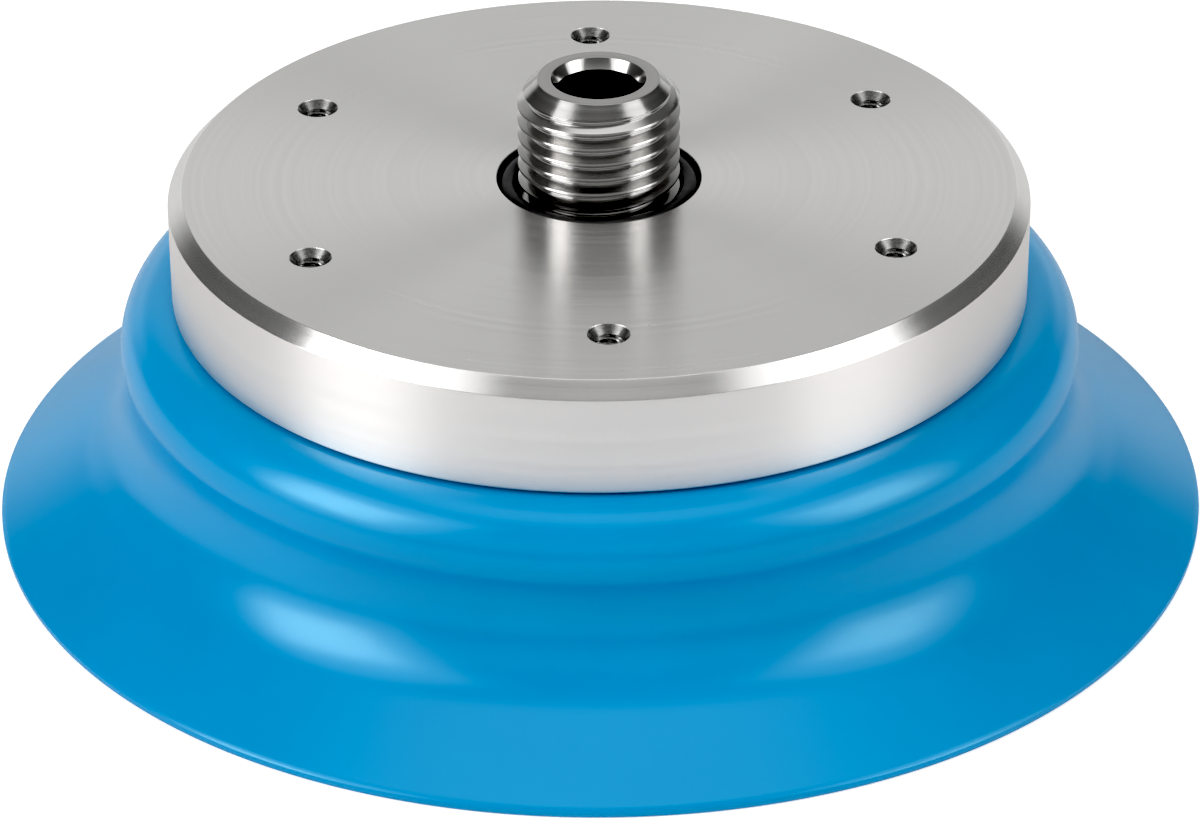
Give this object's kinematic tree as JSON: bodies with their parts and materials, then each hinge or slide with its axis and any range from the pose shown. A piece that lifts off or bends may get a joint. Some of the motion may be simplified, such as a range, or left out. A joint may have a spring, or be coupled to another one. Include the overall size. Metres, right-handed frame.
{
  "type": "vacuum suction cup",
  "caption": "Flat round vacuum suction cup: a soft polyurethane cup clamped under a turned aluminium plate, with a hollow male stud that carries it and its vacuum.",
  "frame": {"origin": "centre of the sealing lip's contact plane, on the cup's axis", "axes": "+Z along the cup's axis from the load towards the stud; one of the six screws lies at -Y"},
  "size_m": [0.15, 0.15, 0.0564],
  "materials": {
    "turned_aluminium": "turned, with fine concentric tool marks",
    "plated_steel": "bright nickel plate",
    "zinc_steel": "zinc plate",
    "blue_polyurethane": "satin moulded",
    "black_rubber": "matt moulded"
  },
  "bodies": {
    "holder": {"top_plate": "turned_aluminium", "threaded_stud": "plated_steel", "face_seal_ring": "black_rubber", "stud_seal_ring": "black_rubber", "cup_collar": "blue_polyurethane", "clamp_plate": "turned_aluminium", "clamp_screw_1": "zinc_steel", "clamp_screw_2": "zinc_steel", "clamp_screw_3": "zinc_steel", "clamp_screw_4": "zinc_steel", "clamp_screw_5": "zinc_steel", "clamp_screw_6": "zinc_steel", "lock_washer_1": "zinc_steel", "lock_washer_2": "zinc_steel", "lock_washer_3": "zinc_steel", "lock_washer_4": "zinc_steel", "lock_washer_5": "zinc_steel", "lock_washer_6": "zinc_steel"},
    "lip": {"cup_wall": "blue_polyurethane", "sealing_lip": "blue_polyurethane"}
  },
  "joints": [
    {"name": "lip_stroke", "type": "slide", "parent": "holder", "child": "lip", "axis": [0, 0, 1], "range_m": [0, 0.008], "stiffness_N_per_m": 8000, "deforming": ["cup_wall"]}
  ]
}
